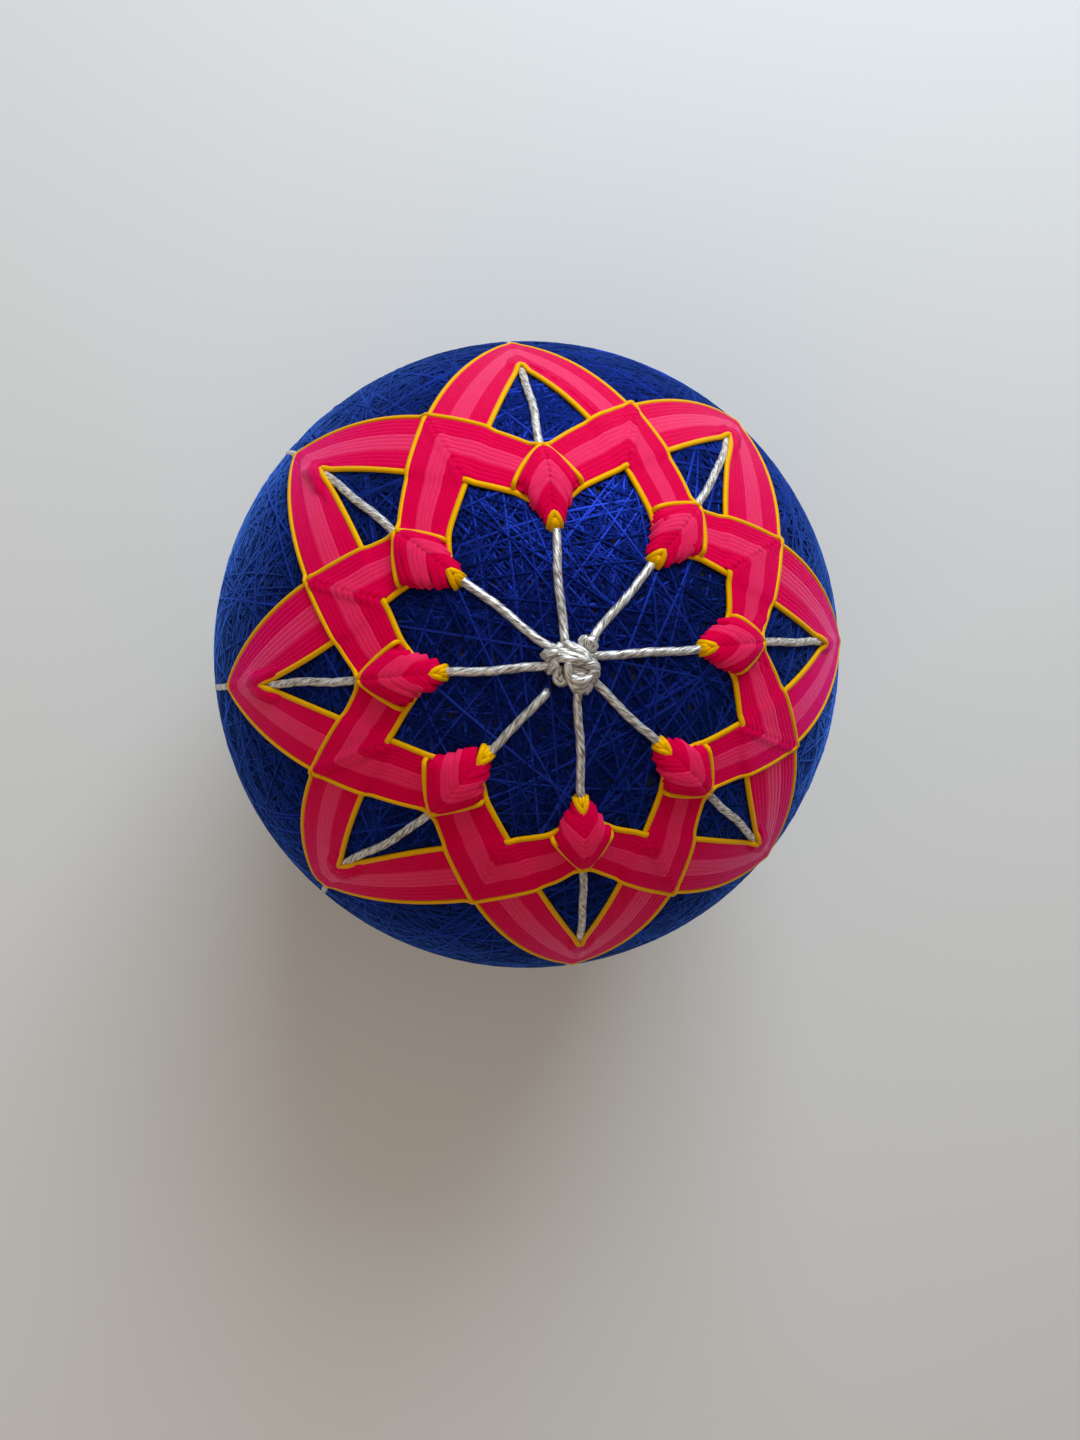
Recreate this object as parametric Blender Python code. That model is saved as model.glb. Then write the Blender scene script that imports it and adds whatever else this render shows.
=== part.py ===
"""A temari ball: a thread-wound ball with silver guide threads tied at the top pole and two
interlaced four-pointed stars stitched round it in yellow, crimson and pink thread.

Metres, +Z up along the pole axis, the ball rests on a small flat spot at the origin.
Spoke 0 lies along +Y and the spokes count clockwise seen from above.
The star is laid in rows numbered from 0 on the pole side to 7 on the outer side. The first star
has its outer points on the even spokes, the second on the odd ones. Each star's inner corners
lie on the other star's spokes, and its crossed stitches pile up there in a knob.
"""
import bmesh
import bpy
import math
from mathutils import Vector, noise

MM = 0.001

# ball
BALL_R = 38.0 * MM            # wrapped ball without the star
FLAT_ANGLE = 10.5             # degrees from the lower pole to the rim of the flat spot
CENTRE_Z = BALL_R * math.cos(math.radians(FLAT_ANGLE))
LUMP = 0.14 * MM              # how far the wound surface sinks between its high places
LUMP_SIZE = 13.0 * MM
SPOKES = 8
SECTOR = 360.0 / SPOKES
RING_STEP = 6.5               # degrees between the rings of the ball's surface
CAP_RING = 2.2                # degrees, first ring of the dip under the knot
RING_POINTS = 6 * SPOKES      # four points at each groove and two between grooves

# guide threads, pressed into the wrap
GROOVE_TOP = 0.80 * MM        # half width of the groove at the surface
GROOVE_BOTTOM = 0.58 * MM
GROOVE_DEPTH = 0.66 * MM
GROOVE_FROM, GROOVE_TO = 4.0, 167.6      # degrees from the top pole
CORD_HALF = 0.48 * MM
CORD_LOW, CORD_HIGH = -0.36 * MM, 0.30 * MM
CORD_FROM, CORD_TO, CORD_STEPS = 2.1, 164.4, 18

CORD_END = 0.5                # a cord's last section is this share of its full size
CORD_SECTION = ((-1.0, 0.45), (-0.55, 0.0), (0.55, 0.0), (1.0, 0.45), (0.55, 1.0), (-0.55, 1.0))

# pole knot
KNOT_R, KNOT_TALL, KNOT_HIGH = 2.3 * MM, 0.85 * MM, 0.52 * MM
LOOP_WIDE, LOOP_TALL = 0.70, 0.75        # shares of a loop's radius
LUMPS = (                     # angle, distance, radius, height of centre of each loop (mm)
    (20, 1.7, 1.05, 0.75), (80, 1.8, 0.90, 0.60), (150, 1.6, 1.10, 0.80),
    (215, 1.8, 0.95, 0.65), (285, 1.6, 1.10, 0.75), (0, 0.2, 1.20, 1.05))

# star rows: degrees from the top pole
APEX_0, APEX_STEP = 50.9, 1.85           # outer corner of row 0, and per row
INNER_0, INNER_STEP = 20.0, 1.27         # inner corner of row 0, and per row
BOW_0, BOW_STEP = 0.6, 0.13              # how far an arm bows outward at its middle
BANDS = (                                # name, first and last row edge, material
    ("inner_yellow", -0.35, 0.30, "yellow"),
    ("inner_crimson", 0.80, 2.20, "crimson"),
    ("pink", 2.80, 4.20, "pink"),
    ("outer_crimson", 4.80, 6.20, "crimson"),
    ("outer_yellow", 6.70, 7.35, "yellow"))
GAPS = (0.55, 2.50, 4.50, 6.45)          # row number in the middle of each gap between bands
HALF_GAP = 0.30                          # rows a band takes to step up or down at a gap
STEP_DOWN = (-0.75, -1.90)               # rows past the other star where a raised band comes down
STEP_UP = (8.60, 7.75)

CLEAR = 0.30 * MM                        # air between two pieces
BAND_THICK = 0.40 * MM
LOW = CLEAR
HIGH = LOW + BAND_THICK + CLEAR
OVER_GUIDE = CORD_HIGH + CLEAR - LOW     # how far a band lifts where it passes over a guide thread
OUTER_LIFT = ((0.0, 1.0), (0.030, 1.0), (0.075, 0.0))  # share of an arm, share of that lift
INNER_LIFT = ((0.925, 0.0), (0.968, 1.0), (1.0, 1.0))
EDGE_SLOPE = 0.12                        # rows by which a band's top is narrower on each side
LONGEST = 10.0                            # degrees of arc between two cuts through a band

# knob: station, half width of the foot, height of the top (degrees, mm, mm)
KNOB = (
    (20.9, 0.95, 1.85), (21.6, 1.65, 2.35), (21.9, 1.45, 2.50), (22.6, 2.20, 3.00),
    (22.9, 2.00, 3.05), (23.7, 2.50, 3.25), (25.3, 2.25, 3.15), (26.8, 1.45, 2.45),
    (27.8, 0.70, 1.70))
KNOB_FOOT = LOW + OVER_GUIDE + BAND_THICK + CLEAR
TOE_AT, TOE_R, TOE_HIGH = 27.15, 0.50 * MM, 1.20 * MM    # joins the knob to its band below
KNOB_SECTION = ((-1.0, 0.0), (-0.80, 0.62), (-0.35, 1.0), (0.35, 1.0), (0.80, 0.62), (1.0, 0.0))

# yellow thread that frames a knob: degrees, distance from the spoke, underside (mm)
FRAME = ((29.0, -0.15, 0.90), (28.95, 0.60, 1.25), (28.6, 1.30, 1.20), (27.7, 1.95, 1.05),
         (26.6, 2.40, 1.05), (25.2, 2.88, 1.05), (23.8, 3.05, 1.05), (22.6, 2.95, 1.05))
FRAME_HALF = 0.24 * MM
TIP_AT, TIP_R, TIP_HIGH, TIP_MIDDLE = 19.15, 0.82 * MM, 0.62 * MM, 0.94 * MM

COLOURS = {                              # colour, roughness, metallic
    "blue_wrap": ((0.012, 0.035, 0.30), 0.75, 0.0),
    "silver": ((0.62, 0.58, 0.53), 0.38, 0.7),
    "yellow": ((0.85, 0.47, 0.01), 0.55, 0.0),
    "crimson": ((0.72, 0.008, 0.085), 0.50, 0.0),
    "pink": ((0.88, 0.11, 0.20), 0.50, 0.0)}


def place(theta, azimuth, height):
    """Point at an angle from the top pole, an angle counter-clockwise from +X, and a height."""
    t, a = math.radians(theta), math.radians(azimuth)
    r = BALL_R + height
    return Vector((r * math.sin(t) * math.cos(a), r * math.sin(t) * math.sin(a),
                   CENTRE_Z + r * math.cos(t)))


def beside(spoke, theta, side, height):
    """Point beside a spoke: side is measured square to the spoke along the surface, clockwise."""
    base = place(theta, spoke_azimuth(spoke), 0.0) - Vector((0, 0, CENTRE_Z))
    a = math.radians(spoke_azimuth(spoke))
    out = base / BALL_R + Vector((math.sin(a), -math.cos(a), 0)) * (side / BALL_R)
    return out.normalized() * (BALL_R + height) + Vector((0, 0, CENTRE_Z))


def spoke_azimuth(spoke):
    return 90.0 - SECTOR * spoke


def material(name):
    if name in bpy.data.materials:
        return bpy.data.materials[name]
    colour, rough, metal = COLOURS[name]
    mat = bpy.data.materials.new(name)
    mat.use_nodes = True
    shader = mat.node_tree.nodes["Principled BSDF"]
    shader.inputs["Base Color"].default_value = (*colour, 1.0)
    shader.inputs["Roughness"].default_value = rough
    shader.inputs["Metallic"].default_value = metal
    mat.diffuse_color = (*colour, 1.0)
    return mat


def mesh_object(name, points, faces, slot):
    mesh = bpy.data.meshes.new(name)
    mesh.from_pydata([tuple(p) for p in points], [], faces)
    work = bmesh.new()
    work.from_mesh(mesh)
    bmesh.ops.recalc_face_normals(work, faces=work.faces)
    work.to_mesh(mesh)
    work.free()
    for poly in mesh.polygons:
        poly.use_smooth = True
    mesh.materials.append(material(slot))
    obj = bpy.data.objects.new(name, mesh)
    bpy.context.scene.collection.objects.link(obj)
    return obj


def sweep(name, sections, slot, closed):
    """Skin over a run of equal-sized sections, each a list of points."""
    n = len(sections[0])
    points = [p for section in sections for p in section]
    runs = len(sections) if closed else len(sections) - 1
    faces = []
    for i in range(runs):
        a, b = i * n, ((i + 1) % len(sections)) * n
        for k in range(n):
            m = (k + 1) % n
            faces.append((a + k, a + m, b + m, b + k))
    if not closed:
        faces += [tuple(range(n)), tuple(range(len(points) - n, len(points)))]
    return mesh_object(name, points, faces, slot)


def unite(keeper, others):
    """Join bodies that meet into one body."""
    for other in others:
        cut = keeper.modifiers.new("unite", "BOOLEAN")
        cut.operation, cut.solver, cut.object = "UNION", "EXACT", other
        depsgraph = bpy.context.evaluated_depsgraph_get()
        joined = bpy.data.meshes.new_from_object(keeper.evaluated_get(depsgraph))
        keeper.modifiers.clear()
        old = keeper.data
        keeper.data = joined
        bpy.data.meshes.remove(old)
        bpy.data.meshes.remove(other.data)
    for poly in keeper.data.polygons:
        poly.use_smooth = True


# wound ball

def wound_height(theta, azimuth):
    """Shallow dips of the wound surface, never above the true ball."""
    spot = place(theta, azimuth, 0.0) / LUMP_SIZE
    return -LUMP * (0.5 + 0.5 * noise.noise(spot))


def ball_longitudes(theta):
    """Azimuth and groove share of each point of a ring: four per groove, two between."""
    reach = BALL_R * math.sin(math.radians(theta))
    room = math.radians(SECTOR / 2) * reach * 0.8
    scale = min(1.0, room / GROOVE_TOP)
    top = math.degrees(GROOVE_TOP * scale / reach)
    low = math.degrees(GROOVE_BOTTOM * scale / reach)
    ring = []
    for s in range(SPOKES):
        a = SECTOR * s
        free = SECTOR - 2 * top
        ring += [(a - top, 0.0), (a - low, 1.0), (a + low, 1.0), (a + top, 0.0)]
        ring += [(a + top + free * k / 3, 0.0) for k in (1, 2)]
    return ring


def wound_ball():
    last = 180.0 - FLAT_ANGLE
    thetas = [CAP_RING, GROOVE_FROM]
    count = round((GROOVE_TO - GROOVE_FROM) / RING_STEP)
    thetas += [GROOVE_FROM + (GROOVE_TO - GROOVE_FROM) * i / count for i in range(1, count + 1)]
    thetas.append(last)
    points = [place(0.0, 0.0, -GROOVE_DEPTH)]
    faces = []
    n = RING_POINTS
    for i, theta in enumerate(thetas):
        for azimuth, share in ball_longitudes(theta):
            if theta < GROOVE_FROM:
                height = -GROOVE_DEPTH
            elif theta >= GROOVE_TO:
                height = 0.0
            else:
                height = wound_height(theta, azimuth) * (1 - share) - GROOVE_DEPTH * share
            points.append(place(theta, azimuth, height))
        first = 1 + i * n
        for k in range(n):
            m = (k + 1) % n
            if i == 0:
                faces.append((0, first + k, first + m))
            else:
                faces.append((first - n + k, first + k, first + m, first - n + m))
    faces.append(tuple(range(1 + (len(thetas) - 1) * n, 1 + len(thetas) * n)))
    return mesh_object("wound_ball", points, faces, "blue_wrap")


# guide threads

def guide_threads():
    cords = []
    for spoke in range(SPOKES):
        sections = []
        for i in range(CORD_STEPS):
            theta = CORD_FROM + (CORD_TO - CORD_FROM) * i / (CORD_STEPS - 1)
            end = CORD_END if i == CORD_STEPS - 1 else 1.0
            sections.append([
                beside(spoke, theta, CORD_HALF * x * end,
                       CORD_LOW + (CORD_HIGH - CORD_LOW) * (0.5 + (y - 0.5) * end))
                for x, y in CORD_SECTION])
        cords.append(sweep("cord", sections, "silver", False))
    knot = ellipsoid("guide_threads", place(0, 0, KNOT_HIGH), KNOT_R, KNOT_R, KNOT_TALL,
                     "silver", 12)
    loops = []
    for angle, out, radius, high in LUMPS:
        a = math.radians(angle)
        spot = place(0, 0, high * MM) + Vector((out * math.cos(a), out * math.sin(a), 0)) * MM
        loops.append(ellipsoid("loop", spot, radius * MM, radius * MM * LOOP_WIDE,
                               radius * MM * LOOP_TALL, "silver", 6, angle))
    unite(knot, cords + loops)
    return knot


def ellipsoid(name, centre, rx, ry, rz, slot, sides, turn=0.0):
    points, faces = [centre + Vector((0, 0, rz))], []
    rings = sides // 2 - 1
    c, s = math.cos(math.radians(turn)), math.sin(math.radians(turn))
    for i in range(1, rings + 1):
        t = math.pi * i / (rings + 1)
        for k in range(sides):
            a = 2 * math.pi * k / sides
            x, y = rx * math.sin(t) * math.cos(a), ry * math.sin(t) * math.sin(a)
            points.append(centre + Vector((x * c - y * s, x * s + y * c, rz * math.cos(t))))
    points.append(centre - Vector((0, 0, rz)))
    last = len(points) - 1
    for k in range(sides):
        m = (k + 1) % sides
        faces.append((0, 1 + k, 1 + m))
        for i in range(rings - 1):
            a = 1 + i * sides
            faces.append((a + k, a + sides + k, a + sides + m, a + m))
        faces.append((last, last - sides + m, last - sides + k))
    return mesh_object(name, points, faces, slot)


# star

def cot(degrees):
    return 1.0 / math.tan(math.radians(degrees))


def arm_theta(row, u):
    """Angle from the top pole of a row at share u of its arm, 0 at the outer corner."""
    s = math.radians(SECTOR)
    mix = (cot(APEX_0 + APEX_STEP * row) * math.sin(s * (1 - u))
           + cot(INNER_0 + INNER_STEP * row) * math.sin(s * u)) / math.sin(s)
    return math.degrees(math.atan2(1.0, mix)) + (BOW_0 + BOW_STEP * row) * math.sin(math.pi * u)


def other_row(row, u):
    """Row number of the other star that passes through the same place."""
    theta = arm_theta(row, u)
    low, high = -16.0, 16.0
    for _ in range(40):
        middle = (low + high) / 2
        if arm_theta(middle, 1 - u) < theta:
            low = middle
        else:
            high = middle
    return low


def where_meets(row, other):
    """Share of an arm at which it meets a row of the other star."""
    low, high = 0.0, 1.0
    for _ in range(40):
        middle = (low + high) / 2
        if other_row(row, middle) > other:
            low = middle
        else:
            high = middle
    return low


def arm_cuts(star, band):
    """Cuts through an arm from outer to inner corner: a share or an other-star row, and a height."""
    cuts = [("u", u, LOW + OVER_GUIDE * share) for u, share in OUTER_LIFT]
    if star == 0 and band > 0:
        gap = GAPS[band - 1]
        cuts += [("row", gap + HALF_GAP, LOW), ("row", gap - HALF_GAP, HIGH)]
    if star == 1 and band < len(GAPS):
        gap = GAPS[band]
        cuts += [("row", gap + HALF_GAP, LOW), ("row", gap - HALF_GAP, HIGH)]
    if star == 1 and band == len(GAPS):
        cuts += [("row", STEP_UP[0], LOW), ("row", STEP_UP[1], HIGH)]
    if star == 1 or band > 0:
        cuts += [("row", STEP_DOWN[0], HIGH), ("row", STEP_DOWN[1], LOW)]
    return cuts + [("u", u, LOW + OVER_GUIDE * share) for u, share in INNER_LIFT]


def arm_stations(star, band, edges):
    """Share of the arm for both edges, and the height, at every cut, with long runs split."""
    fixed = []
    for kind, value, height in arm_cuts(star, band):
        pair = [value if kind == "u" else where_meets(row, value) for row in edges]
        fixed.append((pair[0], pair[1], height))
    stations = [fixed[0]]
    for a, b in zip(fixed, fixed[1:]):
        middle = sum(edges) / 2
        ua, ub = (a[0] + a[1]) / 2, (b[0] + b[1]) / 2
        start = place(arm_theta(middle, ua), SECTOR * ua, 0) - Vector((0, 0, CENTRE_Z))
        end = place(arm_theta(middle, ub), SECTOR * ub, 0) - Vector((0, 0, CENTRE_Z))
        pieces = max(1, math.ceil(math.degrees(start.angle(end)) / LONGEST))
        for k in range(1, pieces + 1):
            stations.append(tuple(x + (y - x) * k / pieces for x, y in zip(a, b)))
    return stations


def band_ring(star, band):
    """One colour of one star: a closed band that zigzags between four outer and inner corners."""
    name, first, last, slot = BANDS[band]
    edges = (first, last)
    stations = arm_stations(star, band, edges)
    sections = []
    for corner in range(SPOKES // 2):
        spoke = 2 * corner + star
        for way in (1, -1):
            run = stations[:-1] if way == 1 else stations[::-1][:-1]
            at = spoke if way == 1 else spoke + 2
            for u_in, u_out, height in run:
                section = []
                for row, u, inset, rise in (
                        (first, u_in, 0.0, 0.0), (last, u_out, 0.0, 0.0),
                        (last, u_out, -EDGE_SLOPE, 1.0), (first, u_in, EDGE_SLOPE, 1.0)):
                    azimuth = spoke_azimuth(at) - way * SECTOR * u
                    section.append(place(arm_theta(row + inset, u), azimuth,
                                         height + BAND_THICK * rise))
                sections.append(section)
    return sweep("%s_%s" % (name, "ab"[star]), sections, slot, True)


def knob(spoke):
    """Pile of crossed stitches over an inner corner."""
    sections = []
    for theta, half, high in KNOB:
        sections.append([beside(spoke, theta, half * MM * x,
                                KNOB_FOOT + (high * MM - KNOB_FOOT) * y)
                         for x, y in KNOB_SECTION])
    return sweep("knob", sections, "crimson", False)


def frame_thread(spoke, side):
    """Last yellow stitch from the crossing down one side of a knob into the ball."""
    sections = []
    for i, (theta, out, low) in enumerate(FRAME):
        a, b = FRAME[max(i - 1, 0)], FRAME[min(i + 1, len(FRAME) - 1)]
        along = math.radians(b[0] - a[0]) * BALL_R
        across = (b[1] - a[1]) * MM
        length = math.hypot(along, across)
        dt = math.degrees(FRAME_HALF * across / length / BALL_R)
        ds = FRAME_HALF * along / length
        sections.append([
            beside(spoke, theta + dt * x, side * (out * MM - ds * x), low * MM + BAND_THICK * y)
            for x, y in ((-1, 0), (1, 0), (0.7, 1), (-0.7, 1))])
    return sweep("frame", sections, "yellow", False)


def upright_lump(name, centre, radius, tall, slot, sides):
    """Rounded lump whose short axis points away from the ball's centre."""
    lump = ellipsoid(name, Vector((0, 0, 0)), radius, radius, tall / 2, slot, sides)
    turn = (centre - Vector((0, 0, CENTRE_Z))).to_track_quat("Z", "Y")
    for vertex in lump.data.vertices:
        vertex.co = turn @ vertex.co + centre
    return lump


def tip(spoke):
    """First yellow stitch, drawn tight on the pole side of a knob."""
    return upright_lump("tip", beside(spoke, TIP_AT, 0.0, TIP_MIDDLE), TIP_R, TIP_HIGH,
                        "yellow", 8)


def toe(spoke):
    """Threads that rise from the band into the knob."""
    return upright_lump("toe", beside(spoke, TOE_AT, 0.0, KNOB_FOOT), TOE_R, TOE_HIGH,
                        "crimson", 6)


def star(number):
    for band in range(len(BANDS)):
        ring = band_ring(number, band)
        inner_spokes = [2 * c + 1 + number for c in range(SPOKES // 2)]
        if BANDS[band][0] == "inner_yellow":
            unite(ring, [tip(s) for s in inner_spokes])
        if BANDS[band][0] == "outer_crimson":
            unite(ring, [piece(s) for s in inner_spokes for piece in (toe, knob)])
        if BANDS[band][0] == "outer_yellow":
            unite(ring, [frame_thread(s, side) for s in inner_spokes for side in (1, -1)])


def main():
    for obj in list(bpy.data.objects):
        bpy.data.objects.remove(obj, do_unlink=True)
    wound_ball()
    guide_threads()
    star(0)
    star(1)


main()
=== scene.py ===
"""Looks of the temari ball: its thread winding, silver guide threads and stitched stars, the stage,
the light and the camera. Metres, +Z up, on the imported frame."""
import math

import bmesh
import bpy
import numpy as np
from mathutils import Matrix, Vector


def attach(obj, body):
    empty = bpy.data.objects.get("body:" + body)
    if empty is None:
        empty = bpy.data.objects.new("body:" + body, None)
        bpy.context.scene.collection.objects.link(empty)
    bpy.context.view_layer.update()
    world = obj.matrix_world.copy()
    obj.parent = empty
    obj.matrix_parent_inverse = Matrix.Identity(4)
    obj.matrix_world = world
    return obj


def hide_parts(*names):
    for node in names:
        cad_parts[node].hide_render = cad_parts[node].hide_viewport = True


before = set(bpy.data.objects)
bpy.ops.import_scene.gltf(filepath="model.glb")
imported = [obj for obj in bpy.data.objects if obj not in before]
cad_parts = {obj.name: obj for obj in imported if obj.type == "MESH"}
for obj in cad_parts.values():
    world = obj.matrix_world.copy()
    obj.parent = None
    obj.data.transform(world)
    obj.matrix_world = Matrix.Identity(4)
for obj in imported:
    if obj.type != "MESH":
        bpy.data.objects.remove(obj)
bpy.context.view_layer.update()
SEED = 8
rng = np.random.default_rng(SEED)

MM = 0.001
BALL_R = 38.0 * MM
FLAT_SPOT = 10.5                                       # degrees from the lower pole to its rim
CENTRE_Z = BALL_R * math.cos(math.radians(FLAT_SPOT))
CENTRE = np.array([0.0, 0.0, CENTRE_Z])
SECTOR = 45.0                                          # degrees from one spoke to the next

LAST_ROW = 7.0                                         # row units from a star's first row to its last

# The rounds of one star: name, number of threads, row units from the first to the last, half width
# and half height of a thread in mm.
ROUNDS = (("inner_yellow", 1, 0.0, 0.0, 0.29, 0.22), ("inner_crimson", 4, 0.62, 2.17, 0.34, 0.15),
          ("pink", 4, 2.70, 4.30, 0.33, 0.16), ("outer_crimson", 4, 4.83, 6.40, 0.34, 0.15),
          ("outer_yellow", 1, LAST_ROW, LAST_ROW, 0.24, 0.20))

# Degrees from the top pole, for row 0 and for each row unit outward: the outer corners, the places
# where a row dips under a stack of stitches, the crossings on the spoke and the stitch ends. Those
# with OUT are metres beside the spoke.
OUTER_0, OUTER_STEP = 50.9, 1.85
NEAR_0, NEAR_STEP, NEAR_OUT = 23.4, 1.19, 2.6 * MM
CROSS_0, CROSS_STEP = 19.7, 1.32
END_0, END_STEP = 17.9, 0.74
END_OUT_0, END_OUT_STEP = 0.72 * MM, 0.275 * MM

# Stitch ends of row 0 and of the last row, then the crossing and the ends of the short first stitch:
# degrees from the pole and metres beside the spoke.
TIP_END, FRAME_END = (17.50, 0.62 * MM), (21.4, 3.5 * MM)
FIRST_CROSS, FIRST_END = 19.0, (17.30, 0.22 * MM)

# How far each spoke strays, in degrees: inner corner clockwise, its tip and its last row outward,
# outer corner clockwise and outward; then the reach of the stack to its left and right, and how
# round its two sides are.
STRAY = ((-0.8, 0.9, 2.6, -1.2, 1.5, 1.0, 1.0, 0.5, 0.1), (1.0, 0.6, 1.3, -1.5, 1.3, 1.0, 1.0, 0.6, 0.6),
         (-0.8, 1.6, 1.4, 1.1, -1.1, 1.0, 1.0, 0.4, 0.4), (1.5, -0.5, 0.5, 0.8, -0.2, 1.0, 1.0, 0.4, 0.3),
         (-1.2, 1.7, 2.4, -1.4, 1.6, 1.0, 1.0, 0.1, 0.1), (1.2, -1.1, 0.4, 5.7, 2.2, 0.92, 1.32, 0.0, 0.2),
         (-0.3, -0.7, 0.8, 0.2, -0.6, 1.0, 1.0, 0.2, 0.2), (-3.0, 0.8, 1.5, -0.7, 1.0, 1.40, 0.62, 0.3, 0.3))
# Outward bow of the arms between spokes k and k + 1, in degrees: first row and last row, then by how
# much more the arm from outer corner k bows than the arm from outer corner k + 1.
BOW = ((0.3, 1.3, 0.6, 0.0), (-1.9, 2.0, -1.2, -0.6), (-1.0, 2.5, 1.5, 0.7), (-0.8, 2.7, -0.2, -0.3),
       (-1.6, 0.7, 1.2, 1.2), (-0.3, 1.8, 0.7, 0.5), (-1.7, 1.0, -0.2, 0.3), (-0.4, 2.1, 0.1, 0.1))

# A stack of stitches: degrees from the pole, height of its ridge and half width, in mm.
STACK = np.array(((15.5, 0.00, 0.60), (16.9, 0.15, 0.80), (17.9, 0.45, 1.05), (19.0, 0.78, 1.50),
                  (20.0, 1.05, 1.87), (21.5, 1.40, 2.45), (22.9, 1.62, 3.00), (25.0, 1.66, 2.07),
                  (26.5, 1.35, 1.40), (27.7, 0.85, 0.90), (28.9, 0.35, 0.45), (29.8, 0.10, 0.35),
                  (30.8, 0.00, 0.30)))
STACK_ROW_0, STACK_ROW_STEP = 19.0, 1.6                # degrees of its rows, by which it strays
STACK_ROUND, STACK_MIDDLE = 0.75, 0.5 * MM             # curve of its sides, half width of its ridge

# How threads lie on each other, felt on a flat map of heights. The map: the size of a cell, and the
# degrees from the pole to which it goes and to which the cords are on it.
MAP_CELL, MAP_REACH, CORD_REACH = 0.12 * MM, 82.0, 80.0
STAMP_HALF, FEEL_HALF = 0.15 * MM, 0.08 * MM           # half widths of a thread's back and of its sole
STAMP_LINES, FEEL_LINES = 9, 5                         # lines along each
FEEL_TOP, FEEL_MEAN = 0.55, 0.45                       # shares of the highest place and the mean
BACK_ROUND = 0.9                                       # how far a back falls to its sides
SURFACE = 0.02 * MM                                    # air under the lowest thread
PLY_STEP = 0.30 * MM                                   # height that one laid thread adds
LATER = 0.02 * MM                                      # how much higher each later stitch lies
LAST_LATER = 4.0 * LATER                               # the same for the last row
CORD_SUNK = 0.05 * MM                                  # how far threads press into the cords
AHEAD = 0.2 * MM                                       # how far before and after a bump it is lifted
OPEN_UNDER = 0.1 * MM                                  # height of stack up to which an arm lies open
UNDER = 0.40 * MM                                      # depth of the arms below a stack
STEEP = 0.45 * MM                                      # height of stack that hides the first row
END_DIVE, DIVE_CURVE = 0.45 * MM, 1.5                  # length and depth of a stitch's sunk end
ARM_POINTS, NEAR_POINTS = 300, 40                      # points of an arm's long and short stretch
LEG_POINTS, LEG_CURVE = 60, 1.1                        # points of a stitch and how it gathers pace
LEG_FROM, LEG_TO, LEG_OUT = 5.0, 35.0, 6.0 * MM        # where a strand counts as a stitch
LAY_STEP, THREAD_STEP = 0.10 * MM, 0.42 * MM           # between points when laid and in the mesh

# How much a path is rounded: at first, at last, in height, and where a row crosses a spoke with the
# reach of that; then the same two at an outer corner, in mm, for row 0 and for each row unit.
PATH_FIRST, PATH_LAST, HEIGHT_SOFT = 0.24 * MM, 0.15 * MM, 0.28 * MM
CROSS_ROUND, CROSS_REACH = 0.7 * MM, 2.0 * MM
CORNER_0, CORNER_STEP, CORNER_REACH_0, CORNER_REACH_STEP = 0.30, 0.10, 1.2, 0.35

# Small unevenness by hand: of a stitch's end, in degrees along the spoke and metres beside it, with
# the share of that in the first and last rows, and of a row's bow in degrees.
END_JITTER, EDGE_SHARE, BOW_JITTER = np.array([0.45, 0.22 * MM]), 0.3, 0.04

# The silver cord and the same cord in the knot: half width, half height and length of one twist.
CORD_WIDE, CORD_TALL, CORD_PITCH = 0.42 * MM, 0.36 * MM, 6.0 * MM
KNOT_WIDE, KNOT_TALL, KNOT_PITCH = 0.42 * MM, 0.30 * MM, 4.0 * MM
CORD_STEP, KNOT_STEP = 0.30 * MM, 0.20 * MM            # between the rings of their meshes
PLY_OFF, PLY_ROUND = 0.20, 0.82                        # place and radius of a ply, as shares of the cord
CORD_HIGH, CORD_LOW = 0.16 * MM, -0.17 * MM            # height of its middle, in the star and below
CORD_SINKS = (56.0, 50.0)                              # degrees between which it goes from low to high

# Sections of all threads: number of sides, how full the shoulders of a pressed one are, and the turn
# in radians by which each strand's twist starts after the one before.
CORD_SIDES, THREAD_SIDES, WRAP_SIDES = 12, 8, 3
SHOULDER, PHASE_STEP = 0.75, 1.7

# The blue winding, from the innermost out: number of turns, lowest and highest level in mm. Then the
# points of a turn, and half the width and height of its thread.
WRAPS = ((330, -0.32, -0.12), (330, -0.25, -0.04), (330, -0.15, 0.05))
WRAP_POINTS, WRAP_WIDE, WRAP_TALL = 96, 0.13 * MM, 0.10 * MM
WRAP_AXIS = (0.31, 0.2, 0.93)                          # from which the start of each turn is found
WRAP_LEAN, WRAP_WAVE = 0.05, 0.010                     # how far a turn lies off and waves, in radii
WAVES_FROM, WAVES_BELOW, WAVE_START = 2, 6, 6.28       # number of its waves and their latest start
CORE_DEPTH, CORE_SPLITS = 0.28 * MM, 6                 # of the dark layer under the loose turns

# Shades of the turns: the darkest, the span and how rare the bright ones are. Then painted shade on
# the lower turns: how much the upper turns gain over them, from which level and over how many mm.
SHADE_LOW, SHADE_SPAN, SHADE_CURVE = 0.03, 0.97, 3.5
PAINTED_DEPTH_SHADE, GAIN_FROM, GAIN_OVER = 0.10, -0.30, 0.35

# The flat spot: where the core, the cords and the winding begin to be pressed, and how much of their
# depth is left.
CORE_FLAT, CORD_FLAT, WRAP_FLAT, PRESSED = 0.25 * MM, 0.10 * MM, 0.20 * MM, 0.08

# Share by which the shading of a thread follows the roundness of the ball.
WRAP_LEVEL, BAND_LEVEL = 0.7, 0.4
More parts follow.
